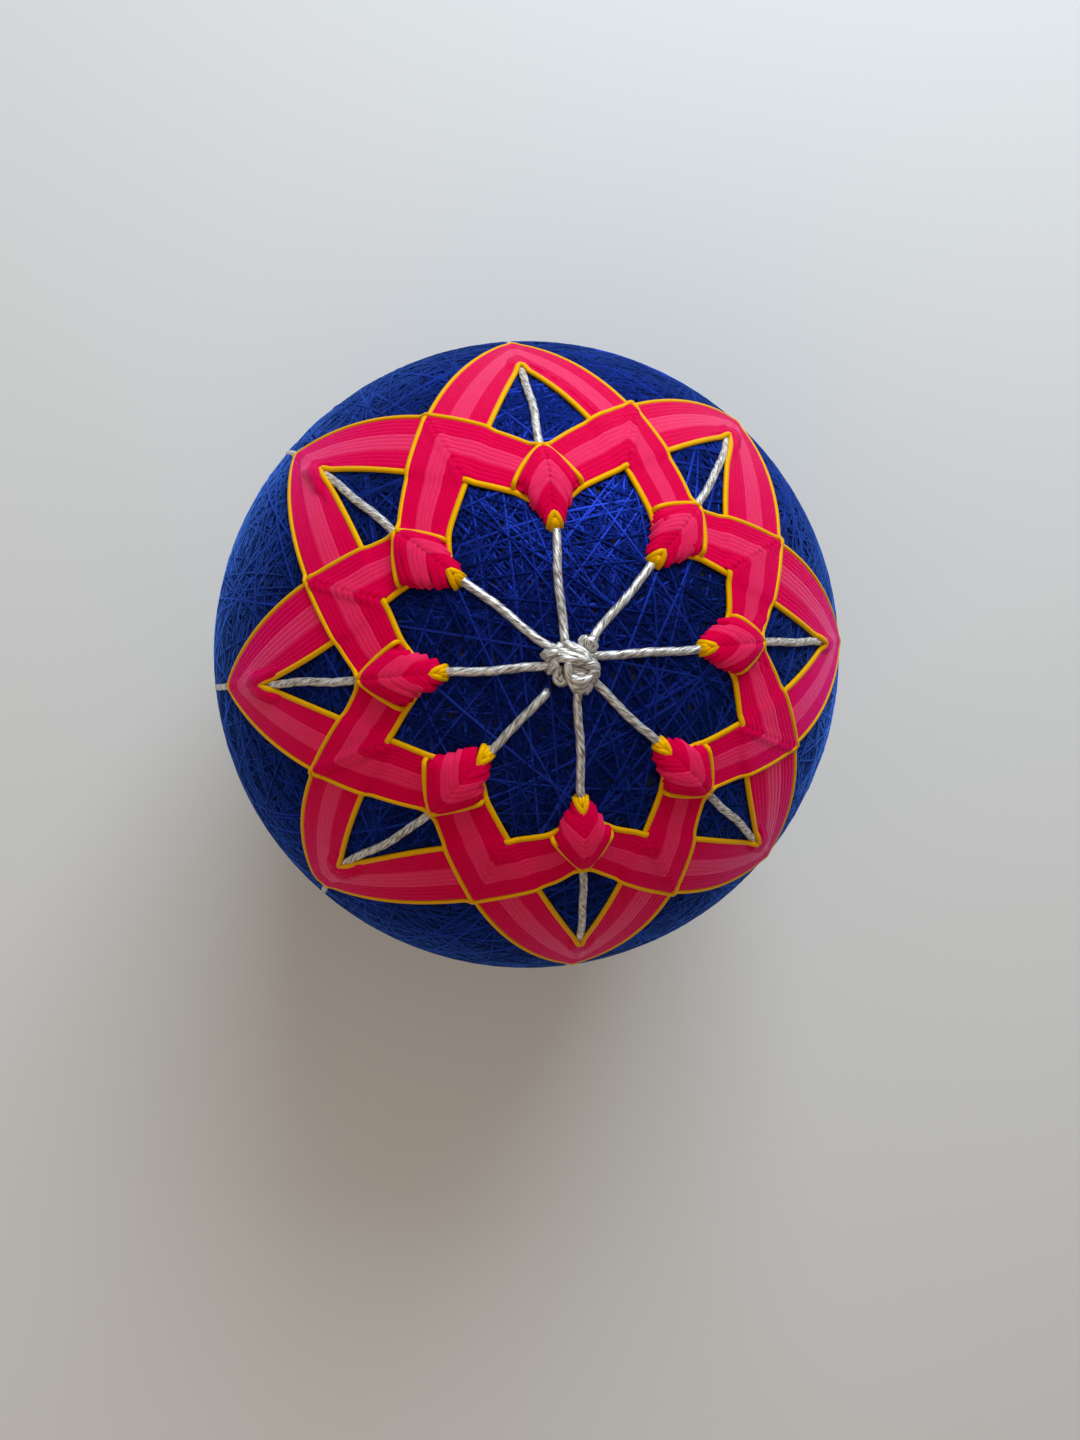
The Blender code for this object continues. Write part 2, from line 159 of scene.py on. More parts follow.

# Looks of the threads. Colours run from the low fibres to the high ones, over twice the fleck: partly
# the fibres' own colour, partly painted shade that darkens the low fibres. Pitch is the length of one
# turn of the fibres in mm, fineness and length are their grain round and along the thread, and glow
# tints what shines.
THREADS = {
    "silver": dict(dark=(0.20, 0.155, 0.12), light=(0.90, 0.87, 0.82), rough=0.38, bump=0.9, sheen=0.0,
                   fleck=0.15, metal=0.5, pitch=7.0, fineness=1.0, length=0.55),
    "yellow": dict(dark=(0.76, 0.32, 0.0), light=(0.94, 0.50, 0.001), rough=0.45, bump=0.3, sheen=0.1,
                   metal=0.1, pitch=1.3, spec=0.1, glow=(1.0, 0.60, 0.02)),
    "crimson": dict(dark=(0.68, 0.0003, 0.034), light=(0.86, 0.0006, 0.066), rough=0.42, bump=0.5,
                    sheen=0.4, pitch=1.3, fineness=4.0, spec=0.04, glow=(1.0, 0.0, 0.80)),
    "pink": dict(dark=(0.82, 0.006, 0.060), light=(0.98, 0.032, 0.125), rough=0.36, bump=0.6,
                 sheen=0.4, pitch=1.3, fineness=4.0, spec=0.18, glow=(1.0, 0.16, 0.90)),
    "blue": dict(dark=(0.0002, 0.0003, 0.006), light=(0.014, 0.036, 0.34), rough=0.38, bump=0.2,
                 sheen=1.0, metal=0.65, pitch=1.0, fineness=1.5, spec=0.0, tone_and_depth_shade=True,
                 glow=(0.10, 0.28, 1.0))}
FIBRE_SCALE, FIBRE_DETAIL, FIBRE_HIGH = 2.2, 3.0, 0.06 * MM
SHEEN_ROUGH = 0.4
TONE_FIBRES, TONE_ALL = 0.25, 0.8                      # fibres added to a turn's own shade, then all of it
# Colours of the core: dark navy thread, painted near black as the shade between the loose turns.
SHADED_CORE_DARK, SHADED_CORE_LIGHT = (0.0001, 0.0002, 0.003), (0.0003, 0.0008, 0.010)
CORE_GRAIN, CORE_DETAIL, CORE_ROUGH, CORE_BUMP, CORE_HIGH = 900.0, 4.0, 0.8, 0.6, 0.1 * MM

# The stage: half the floor's side and its height in metres, then its colour and roughness. The
# room: its colour, its mean brightness and how much brighter it is behind the ball. The lamps:
# place, side, power and colour.
FLOOR_HALF, FLOOR_LOW = 3.0, -0.02 * MM
FLOOR_COLOUR, FLOOR_ROUGH = (0.78, 0.76, 0.73), 0.7
ROOM_COLOUR, ROOM_MEAN, ROOM_SLOPE = (1.0, 0.94, 0.87), 0.30, 0.20
LAMPS = {"window": ((0.12, 0.37, 0.26), 0.30, 2.15, (0.74, 0.87, 1.0)),
         "fill": ((-0.20, -0.30, 0.40), 0.40, 0.4, (1.0, 0.80, 0.60))}
LAMP_AIM = (0.0, 0.0, 0.04)


# paths on the ball

def directions(theta, turn):
    """Directions from the ball's centre: degrees off the top pole and degrees clockwise from +Y."""
    t, a = np.radians(theta), np.radians(90.0 - np.asarray(turn))
    return np.stack([np.sin(t) * np.cos(a), np.sin(t) * np.sin(a), np.cos(t)], -1)


def unit(v):
    return v / np.maximum(np.linalg.norm(v, axis=-1, keepdims=True), 1e-12)


def inner_turn(k):
    return SECTOR * k + STRAY[k % 8][0]


def outer_turn(k):
    return SECTOR * k + STRAY[k % 8][3]


def inner_shift(k, row):
    """How far outward a row lies at inner corner k."""
    stray = STRAY[k % 8]
    return stray[1] + (stray[2] - stray[1]) * row / LAST_ROW


def beside(k, theta, out):
    """Directions at these degrees along spoke k, moved sideways, clockwise being positive."""
    turn = inner_turn(k)
    return unit(directions(theta, turn) + np.asarray(out)[..., None] / BALL_R * sideways(turn))


def sideways(turn):
    """Direction straight to the clockwise side of a spoke."""
    a = math.radians(90.0 - turn)
    return np.array([math.sin(a), -math.cos(a), 0.0])


def spoke_place(way, k):
    """Degrees from the pole along spoke k and metres beside it."""
    turn = inner_turn(k)
    out = way @ sideways(turn)
    ahead = directions(np.array(90.0), turn)
    return np.degrees(np.arctan2(way @ ahead, way[:, 2])), out * BALL_R


def reach(k, side):
    """How wide the stack at inner corner k is to this side, as a share of an even one."""
    return STRAY[k % 8][5 if side < 0 else 6]


def great_circle(a, b, count, bow=0.0):
    """From a to b over the ball, bowed away from the pole by so many degrees."""
    u = np.linspace(0.0, 1.0, count)[:, None]
    gap = math.acos(float(np.clip(a @ b, -1, 1)))
    path = (np.sin(gap * (1 - u)) * a + np.sin(gap * u) * b) / math.sin(gap)
    lean = unit(np.cross(a, b))
    lean = lean * -math.copysign(1.0, lean[2])
    return unit(path + math.radians(bow) * np.sin(np.pi * u) * lean)


def arm(k, way, row, shift):
    """Directions from outer corner k to the crossing on inner spoke k + way."""
    shift_in = inner_shift(k + way, row)
    corner = directions(np.array(OUTER_0 + STRAY[k % 8][4] + OUTER_STEP * row), outer_turn(k))
    near = beside(k + way, np.array(NEAR_0 + shift_in + NEAR_STEP * row), np.array(-way * NEAR_OUT))
    cross = beside(k + way, np.array(CROSS_0 + shift_in + CROSS_STEP * row), np.array(0.0))
    first, last, first_lean, last_lean = BOW[(k if way > 0 else k - 1) % 8]
    first, last = first + way * first_lean, last + way * last_lean
    bow = first + (last - first) * row / LAST_ROW + shift
    return np.concatenate([great_circle(corner, near, ARM_POINTS, bow),
                           great_circle(near, cross, NEAR_POINTS)[1:]])


def leg(k, side, row, start, end, end_out):
    """Directions of one stitch at inner corner k, from its crossing down to its end."""
    t = np.linspace(0.0, 1.0, LEG_POINTS)
    along = inner_shift(k, row) + start + (end - start) * t ** LEG_CURVE
    roundness = STRAY[k % 8][7 if side < 0 else 8]
    return beside(k, along, side * reach(k, side) * end_out * t * (1.0 + roundness * (1.0 - t)))


def arc_lengths(points):
    """Length of a path up to each of its points."""
    steps = np.linalg.norm(np.diff(points, axis=0), axis=1)
    return np.concatenate([[0.0], np.cumsum(steps)])


def resample(points, step):
    """The same path with its points about one step apart."""
    s = arc_lengths(points)
    n = max(2, int(round(s[-1] / step)) + 1)
    at = np.linspace(0.0, s[-1], n)
    return np.stack([np.interp(at, s, points[:, i]) for i in range(3)], -1)


def soften(values, sigma, step):
    """Gaussian mean along a run whose points lie one step apart."""
    half = max(1, int(3 * sigma / step))
    kernel = np.exp(-0.5 * (np.arange(-half, half + 1) * step / sigma) ** 2)
    kernel /= kernel.sum()
    flat = values.reshape(len(values), -1)
    wide = np.concatenate([np.repeat(flat[:1], half, 0), flat, np.repeat(flat[-1:], half, 0)])
    done = np.stack([np.convolve(wide[:, i], kernel, "valid") for i in range(flat.shape[1])], -1)
    return done.reshape(values.shape)


# how the threads lie on each other

class Relief:
    """Height of what is already laid, on a flat map of the upper ball."""
    def __init__(self):
        self.half = int(math.radians(MAP_REACH) * BALL_R / MAP_CELL)
        self.top = np.zeros((2 * self.half + 1,) * 2)

    def spot(self, way):
        theta = np.arccos(np.clip(way[..., 2], -1, 1))
        flat = np.maximum(np.linalg.norm(way[..., :2], axis=-1), 1e-9)
        xy = way[..., :2] / flat[..., None] * (theta * BALL_R)[..., None] / MAP_CELL
        return np.clip(np.rint(xy).astype(int) + self.half, 0, 2 * self.half)

    def feel(self, way, across):
        """Height under a thread: between the mean and the highest place of its narrow sole."""
        found = []
        for off in np.linspace(-FEEL_HALF, FEEL_HALF, FEEL_LINES):
            i = self.spot(unit(way + across * off / BALL_R))
            found.append(self.top[i[:, 0], i[:, 1]])
        found = np.stack(found)
        return FEEL_TOP * found.max(0) + FEEL_MEAN * found.mean(0)

    def stamp(self, way, across, height, half, tall):
        """Raise the map to the round back of a thread whose centre lies at this height."""
        for off in np.linspace(-half, half, STAMP_LINES):
            back = height + tall * math.sqrt(max(0.0, 1.0 - (off / half) ** 2 * BACK_ROUND))
            i = self.spot(unit(way + across * off / BALL_R))
            np.maximum.at(self.top, (i[:, 0], i[:, 1]), back)


def across_of(way):
    """Directions to the side of a thread."""
    return unit(np.cross(np.gradient(way, axis=0), way))


def stack_height(way, k):
    """Height of the domed stack over inner corner k, and how near its middle line a place is."""
    along, out = spoke_place(way, k)
    along = along - inner_shift(k, np.clip((along - STACK_ROW_0) / STACK_ROW_STEP, 0.0, LAST_ROW))
    side = np.where(out < 0, reach(k, -1), reach(k, 1))
    half = np.interp(along, STACK[:, 0], STACK[:, 2]) * side * MM
    ridge = np.interp(along, STACK[:, 0], STACK[:, 1]) * MM
    x = np.clip(np.abs(out) / half, 0.0, 1.0)
    return ridge * (1.0 - x ** 2) ** STACK_ROUND, np.clip(1.0 - np.abs(out) / STACK_MIDDLE, 0.0, 1.0)


def lay(relief, way, step, corners, legs, later, hide=False):
    """Heights of a taut thread along these directions. What it leaves on the map, later ones feel."""
    across = across_of(way)
    base = relief.feel(way, across)
    spread = max(1, int(AHEAD / step))
    wide = np.pad(base, spread, mode="edge")
    base = np.max([wide[i:i + len(base)] for i in range(2 * spread + 1)], axis=0)
    open_arm = ~legs
    for k in corners:
        high, middle = stack_height(way, k)
        base = np.maximum(base, np.where(legs, high, high - UNDER * (1.0 - middle)))
        open_arm &= high < OPEN_UNDER
        if hide:
            # The first row runs deeper below a stack, so that it doesn't show at its side.
            below = (~legs) & (high > STEEP) & (middle == 0.0)
            base = np.where(below, high - 2.0 * UNDER, base)
    height = soften(base, HEIGHT_SOFT, step) + SURFACE + 0.5 * PLY_STEP
    height = height + np.where(legs, later, 0.0)
    s = np.arange(len(way)) * step
    fall = np.clip(1.0 - np.minimum(s, s[-1] - s) / END_DIVE, 0.0, 1.0) ** DIVE_CURVE
    height = height * (1 - fall) - END_DIVE * fall
    relief.stamp(way[open_arm], across[open_arm], height[open_arm], STAMP_HALF, 0.5 * PLY_STEP)
    return height


def smooth_path(path, step, marks):
    """Rounds a path: a little everywhere and by its own radius near each marked point."""
    base = soften(path, PATH_FIRST, step)
    for place, sigma, width in marks:
        s = np.linalg.norm(path - place, axis=1)
        weight = np.exp(-(s / width) ** 4)[:, None]
        base = base * (1 - weight) + soften(path, sigma, step) * weight
    return soften(base, PATH_LAST, step)


def star_strand(k, row, step):
    """One thread from a stitch at inner corner k - 1 round outer corner k to one at k + 1."""
    parts, marks = [], []
    jitter = rng.uniform(-1, 1, (2, 2)) * END_JITTER
    shift = rng.uniform(-BOW_JITTER, BOW_JITTER)
    for way, stray in ((-1, jitter[0]), (1, jitter[1])):
        end, out = END_0 + END_STEP * row, END_OUT_0 + END_OUT_STEP * row
        if row == 0.0:
            end, out = TIP_END
        elif row == LAST_ROW:
            end, out = FRAME_END
        course = arm(k, way, row, shift)
        if row in (0.0, LAST_ROW):
            stray = stray * EDGE_SHARE
        stitch = leg(k + way, way, row, CROSS_0 + CROSS_STEP * row, end + stray[0], out + stray[1])
        if row == LAST_ROW:
            # The last row frames the stack and ends at the first row of the band below it.
            edge = arm(k + 2 * way, -way, 0.0, 0.0)
            gap = np.linalg.norm(stitch[:, None] - edge[None], axis=-1).min(1)
            stitch = stitch[:gap.argmin() + 1]
        marks.append((course[ARM_POINTS] * BALL_R, CROSS_ROUND, CROSS_REACH))
        parts.append((course, stitch[1:]))
    path = np.concatenate([parts[0][1][::-1], parts[0][0][::-1], parts[1][0][1:], parts[1][1]]) * BALL_R
    marks.append((parts[0][0][0] * BALL_R, (CORNER_0 + CORNER_STEP * row) * MM,
                  (CORNER_REACH_0 + CORNER_REACH_STEP * row) * MM))
    path = resample(path, step)
    way = unit(smooth_path(path, step, marks))
    on_leg = np.zeros(len(way), bool)
    for side, corner in ((-1, k - 1), (1, k + 1)):
        along, out = spoke_place(way, corner)
        on_leg |= (out * side > 0) & (along < LEG_TO) & (np.abs(out) < LEG_OUT) & (along > LEG_FROM)
    return way, on_leg


def first_stitch(k, step):
    """Short crossed stitch under the tip of the stack at inner corner k."""
    sides = [leg(k, side, 0.0, FIRST_CROSS, *FIRST_END) for side in (-1, 1)]
    path = resample(np.concatenate([sides[0][::-1], sides[1][1:]]) * BALL_R, step)
    return unit(soften(path, PATH_LAST, step))


def build_star():
    """All rounds of both stars in the order they are stitched, each laid over what is there."""
    step = LAY_STEP
    relief = Relief()
    for way, heights in guide_paths:
        upper = way[:, 2] > math.cos(math.radians(CORD_REACH))
        part = way[upper]
        relief.stamp(part, across_of(part), heights[upper] - CORD_SUNK, CORD_WIDE, CORD_TALL)
    rounds = {}
    later = 0.0
    for colour, count, first, last, wide, tall in ROUNDS:
        for row in np.linspace(first, last, count):
            later += LATER if row < LAST_ROW else LAST_LATER
            for star in (0, 1):
                laid = rounds.setdefault("%s_%s" % (colour, "ab"[star]), ([], wide * MM, tall * MM))[0]
                for k in range(star, 8, 2):
                    if row == 0.0:
                        way = first_stitch(k + 1, step)
                        height = lay(relief, way, step, (k + 1,), np.ones(len(way), bool), 0.0)
                        laid.append(resample(way * (BALL_R + height)[:, None] + CENTRE, THREAD_STEP))
                    way, on_leg = star_strand(k, row, step)
                    height = lay(relief, way, step, (k - 1, k + 1), on_leg, later, hide=row == 0.0)
                    laid.append(resample(way * (BALL_R + height)[:, None] + CENTRE, THREAD_STEP))
    return rounds


# thread and cord meshes

def twisted(sides, wide, tall, pitch):
    """Section of three round plies laid together, turning along the cord."""
    angle = 2 * np.pi * np.arange(sides) / sides

    def section(along, phase):
        turn = 2 * np.pi * along / pitch + phase
        third = 2 * np.pi / 3
        lean = (angle[None, :] - turn[:, None] + 0.5 * third) % third - 0.5 * third
        r = PLY_OFF * np.cos(lean) + np.sqrt(PLY_ROUND ** 2 - (PLY_OFF * np.sin(lean)) ** 2)
        return r * np.cos(angle) * wide, r * np.sin(angle) * tall
    return section


def pressed(sides, wide, tall):
    """Section of a thread pressed flat against its neighbours: an oval with fuller shoulders."""
    angle = 2 * np.pi * np.arange(sides) / sides
    x, y = (np.sign(v) * np.abs(v) ** SHOULDER for v in (np.cos(angle), np.sin(angle)))

    def section(along, phase):
        return np.tile(x * wide, (len(along), 1)), np.tile(y * tall, (len(along), 1))
    return section


def tubes(name, strands, section, closed=False, shades=None, level=0.0):
    """One mesh of tubes along the strands. The map "thread" runs in mm along and one unit around. The
    level, 0 to 1, turns the shading from each thread's own roundness to the roundness of the ball."""
    verts, faces, uvs, vertex_shades = [], [], [], []
    start = 0
    for number, points in enumerate(strands):
        n = len(points)
        if closed:
            tangent = unit(np.roll(points, -1, 0) - np.roll(points, 1, 0))
        else:
            tangent = unit(np.gradient(points, axis=0))
        up = unit(points - CENTRE)
        side = unit(np.cross(tangent, up))
        up = np.cross(side, tangent)
        along = arc_lengths(points)
        phase = number * PHASE_STEP
        x, y = section(along, phase)
        m = x.shape[1]
        ring = points[:, None] + side[:, None] * x[..., None] + up[:, None] * y[..., None]
        verts.append(ring.reshape(-1, 3))
        runs = n if closed else n - 1
        i, j = np.meshgrid(np.arange(runs), np.arange(m), indexing="ij")
        i2, j2 = (i + 1) % n, (j + 1) % m
        quad = np.stack([i * m + j, i2 * m + j, i2 * m + j2, i * m + j2], -1).reshape(-1, 4)
        faces.append(quad + start)
        length = np.append(along, along[-1] + np.linalg.norm(points[0] - points[-1])) / MM
        u0, u1 = length[i], length[i + 1]
        v0, v1 = j / m - phase / (2 * np.pi), (j + 1) / m - phase / (2 * np.pi)
        uvs.append(np.stack([np.stack([u0, v0], -1), np.stack([u1, v0], -1),
                             np.stack([u1, v1], -1), np.stack([u0, v1], -1)], 2).reshape(-1, 2))
        if not closed:
            # Each end is closed by four-sided faces, so an open tube has an even number of sides.
            for end, order in ((0, 1), (n - 1, -1)):
                cap = (end * m + np.arange(m))[::order] + start
                for a in range(1, m - 1, 2):
                    faces.append(np.array([[cap[0], cap[a], cap[a + 1], cap[a + 2]]]))
                    uvs.append(np.tile([[length[end], 0.5]], (4, 1)))
        if shades is not None:
            vertex_shades.append(np.full(n * m, shades[number]))
        start += n * m
    verts, quads, uv = np.concatenate(verts), np.concatenate(faces), np.concatenate(uvs)
    mesh = bpy.data.meshes.new(name)
    mesh.vertices.add(len(verts))
    mesh.vertices.foreach_set("co", verts.astype(np.float32).ravel())
    mesh.loops.add(quads.size)
    mesh.loops.foreach_set("vertex_index", quads.astype(np.int32).ravel())
    mesh.polygons.add(len(quads))
    mesh.polygons.foreach_set("loop_start", np.arange(0, quads.size, 4, dtype=np.int32))
    mesh.polygons.foreach_set("use_smooth", np.ones(len(quads), dtype=bool))
    mesh.update(calc_edges=True)
    layer = mesh.uv_layers.new(name="thread")
    layer.uv.foreach_set("vector", uv.astype(np.float32).ravel())
    if shades is not None:
        tone_and_depth_shade = mesh.attributes.new("tone_and_depth_shade", "FLOAT", "POINT")
        tone_and_depth_shade.data.foreach_set("value", np.concatenate(vertex_shades).astype(np.float32))
    mesh.validate()
    if level:
        own = np.empty(len(verts) * 3, np.float32)
        mesh.vertex_normals.foreach_get("vector", own)
        ball = unit(verts - CENTRE)
        mesh.normals_split_custom_set_from_vertices(unit(own.reshape(-1, 3) * (1 - level) + ball * level))
    obj = bpy.data.objects.new(name, mesh)
    bpy.context.scene.collection.objects.link(obj)
    return obj


# shader groups

def new_group(name, inputs, outputs):
    tree = bpy.data.node_groups.new(name, "ShaderNodeTree")
    for way, sockets in (("INPUT", inputs), ("OUTPUT", outputs)):
        for label, kind in sockets:
            tree.interface.new_socket(name=label, in_out=way, socket_type=kind)
    return tree, tree.nodes.new("NodeGroupInput"), tree.nodes.new("NodeGroupOutput")


def math_node(tree, operation, a, b=None, c=None):
    node = tree.nodes.new("ShaderNodeMath")
    node.operation = operation
    for socket, value in zip(node.inputs, (a, b, c)):
        if value is None:
            continue
        if isinstance(value, (int, float)):
            socket.default_value = value
        else:
            tree.links.new(value, socket)
    return node.outputs[0]


def mix_colour(tree, factor, a, b):
    node = tree.nodes.new("ShaderNodeMix")
    node.data_type = "RGBA"
    for socket, value in ((node.inputs[0], factor), (node.inputs[6], a), (node.inputs[7], b)):
        if isinstance(value, (int, float)):
            socket.default_value = value
        elif isinstance(value, tuple):
            socket.default_value = (*value, 1.0)
        else:
            tree.links.new(value, socket)
    return node.outputs[2]


def fibre_group():
    """Fine fibres that wind round a thread, worked out from its map."""
    tree, source, sink = new_group(
        "Wound fibres",
        [("Map", "NodeSocketVector"), ("Pitch mm", "NodeSocketFloat"),
         ("Fineness", "NodeSocketFloat"), ("Length", "NodeSocketFloat")],
        [("Fibres", "NodeSocketFloat")])
    split = tree.nodes.new("ShaderNodeSeparateXYZ")
    tree.links.new(source.outputs["Map"], split.inputs[0])
    turns = math_node(tree, "DIVIDE", split.outputs[0], source.outputs["Pitch mm"])
    angle = math_node(tree, "MULTIPLY", math_node(tree, "SUBTRACT", split.outputs[1], turns), 2 * math.pi)
    place = tree.nodes.new("ShaderNodeCombineXYZ")
    fine = source.outputs["Fineness"]
    tree.links.new(math_node(tree, "MULTIPLY", math_node(tree, "COSINE", angle), fine), place.inputs[0])
    tree.links.new(math_node(tree, "MULTIPLY", math_node(tree, "SINE", angle), fine), place.inputs[1])
    tree.links.new(math_node(tree, "MULTIPLY", split.outputs[0], source.outputs["Length"]), place.inputs[2])
    noise = tree.nodes.new("ShaderNodeTexNoise")
    noise.inputs["Scale"].default_value = FIBRE_SCALE
    noise.inputs["Detail"].default_value = FIBRE_DETAIL
    tree.links.new(place.outputs[0], noise.inputs["Vector"])
    tree.links.new(noise.outputs[0], sink.inputs["Fibres"])
    return tree


def thread_material(name, fibres, dark, light, rough, bump, sheen, pitch, fleck=0.35, metal=0.0,
                    fineness=3.0, length=0.5, tone_and_depth_shade=False, spec=0.5, glow=None):
    """One kind of thread. A thread may also have a shade of its own: a random one, with painted shade
    that darkens the lower turns of the winding.
    """
    mat = bpy.data.materials.new(name)
    mat.use_nodes = True
    tree = mat.node_tree
    shader = tree.nodes["Principled BSDF"]
    where = tree.nodes.new("ShaderNodeUVMap")
    where.uv_map = "thread"
    group = tree.nodes.new("ShaderNodeGroup")
    group.node_tree = fibres
    tree.links.new(where.outputs[0], group.inputs["Map"])
    group.inputs["Pitch mm"].default_value = pitch
    group.inputs["Fineness"].default_value = fineness
    group.inputs["Length"].default_value = length
    spread = tree.nodes.new("ShaderNodeMapRange")
    for label, value in (("From Min", 0.5 - fleck), ("From Max", 0.5 + fleck)):
        spread.inputs[label].default_value = value
    tree.links.new(group.outputs["Fibres"], spread.inputs["Value"])
    factor = spread.outputs[0]
    # A turn's own shade: random, with painted shade on the lower turns.
    if tone_and_depth_shade:
        own = tree.nodes.new("ShaderNodeAttribute")
        own.attribute_name = "tone_and_depth_shade"
        factor = math_node(tree, "MULTIPLY_ADD", factor, TONE_FIBRES, own.outputs["Fac"])
        factor = math_node(tree, "MULTIPLY", factor, TONE_ALL)
    # Painted shade: the colour follows the fibres' height, darker where they lie low.
    colour = mix_colour(tree, factor, dark, light)
    tree.links.new(colour, shader.inputs["Base Color"])
    shader.inputs["Roughness"].default_value = rough
    shader.inputs["Metallic"].default_value = metal
    shader.inputs["Specular IOR Level"].default_value = spec
    if glow:
        shader.inputs["Specular Tint"].default_value = (*glow, 1.0)
    shader.inputs["Sheen Weight"].default_value = sheen
    shader.inputs["Sheen Roughness"].default_value = SHEEN_ROUGH
    shader.inputs["Sheen Tint"].default_value = (*(glow or light), 1.0)
    lift = tree.nodes.new("ShaderNodeBump")
    lift.inputs["Strength"].default_value = bump
    lift.inputs["Distance"].default_value = FIBRE_HIGH
    tree.links.new(group.outputs["Fibres"], lift.inputs["Height"])
    tree.links.new(lift.outputs[0], shader.inputs["Normal"])
    return mat


# silver guide threads

# Where each cord leaves the knot, in mm from the pole, as seen from the camera.
CORD_STARTS = ((-0.6, 1.6), (1.9, 1.9), (1.9, 0.45), (1.6, -1.35), (0.7, -2.3), (-1.85, -2.5),
               (-1.9, -0.4), (-1.6, 1.1))
VIEW_TURN = math.radians(-4.7)

# Degrees from the pole at which a cord passes the tip and the foot of its stack and the outer
# corner, and from where it runs straight down.
TIP_AT, FOOT_AT, CORNER_AT, STRAIGHT_AT = 18.0, 30.0, 51.0, 95.0
CORD_POINTS = 1500

# How a cord strays between the pins: how far, then the two waves of it, each by how many radians a
# degree and how much further on from spoke to spoke.
WOBBLE, WAVE_FAST, WAVE_SLOW = 0.13 * MM, (0.42, 2.1), (0.13, 1.0)

# Where a cord's bends are rounded, fully between the two degrees in the middle, and how much.
CORD_SOFT_AT, CORD_SOFT = (160.0, 150.0, 62.0, 52.0), 4.0 * MM

# One cord ends by itself beside the knot: its spoke, and depth and length of its sunk end. The
# others rise into the knot: how far, and over what length.
LOOSE_SPOKE, LOOSE_DEEP, LOOSE_LONG = 5, 0.8 * MM, 0.9 * MM
KNOT_RISE, KNOT_REACH = 0.5 * MM, 1.6 * MM


def seen_to_world(x, y):
    """From places as seen from the camera to places round the pole."""
    c, s = math.cos(VIEW_TURN), math.sin(VIEW_TURN)
    return x * c - y * s, x * s + y * c


def guide_path(k):
    """One spoke from the knot to the lower pole, straying as it was pinned."""
    x, y = seen_to_world(*CORD_STARTS[k])
    first = math.degrees(math.hypot(x, y) * MM / BALL_R)
    first_turn = math.degrees(math.atan2(x, y))
    home = inner_turn(k)
    first_turn = home + (first_turn - home + 180.0) % 360.0 - 180.0
    theta = np.linspace(first, 180.0, CORD_POINTS)
    turn = np.interp(theta, [TIP_AT, FOOT_AT, CORNER_AT, STRAIGHT_AT, 180.0],
                     [home, home, outer_turn(k), SECTOR * k, SECTOR * k])
    a0, b0 = math.radians(first), math.radians(first_turn - home)
    aside0 = BALL_R * math.sin(a0) * math.sin(b0)
    fade = np.clip((TIP_AT - theta) / (TIP_AT - first), 0.0, 1.0)
    wobble = WOBBLE * np.sin(theta * WAVE_FAST[0] + WAVE_FAST[1] * k)
    wobble = wobble * np.sin(theta * WAVE_SLOW[0] + WAVE_SLOW[1] * k)
    a = np.radians(90.0 - turn)
    cross = np.stack([np.sin(a), -np.cos(a), 0 * a], -1)
    # On the first stretch the cord runs straight from the knot to the tip of its stack.
    way = unit(directions(theta, turn) + ((aside0 * fade + wobble) / BALL_R)[:, None] * cross)
    path = resample(way * BALL_R, LAY_STEP)
    past = np.interp(unit(path)[:, 2], np.cos(np.radians(CORD_SOFT_AT)), [0.0, 1.0, 1.0, 0.0])[:, None]
    way = unit(path * (1.0 - past) + soften(path, CORD_SOFT, LAY_STEP) * past)
    height = np.interp(way[:, 2], np.cos(np.radians(CORD_SINKS)), [CORD_LOW, CORD_HIGH])
    s = np.arange(len(way)) * LAY_STEP
    if k == LOOSE_SPOKE:
        height -= LOOSE_DEEP * np.clip(1.0 - s / LOOSE_LONG, 0.0, 1.0) ** DIVE_CURVE
    else:
        height += KNOT_RISE * np.clip(1.0 - s / KNOT_REACH, 0.0, 1.0)
    return way, height


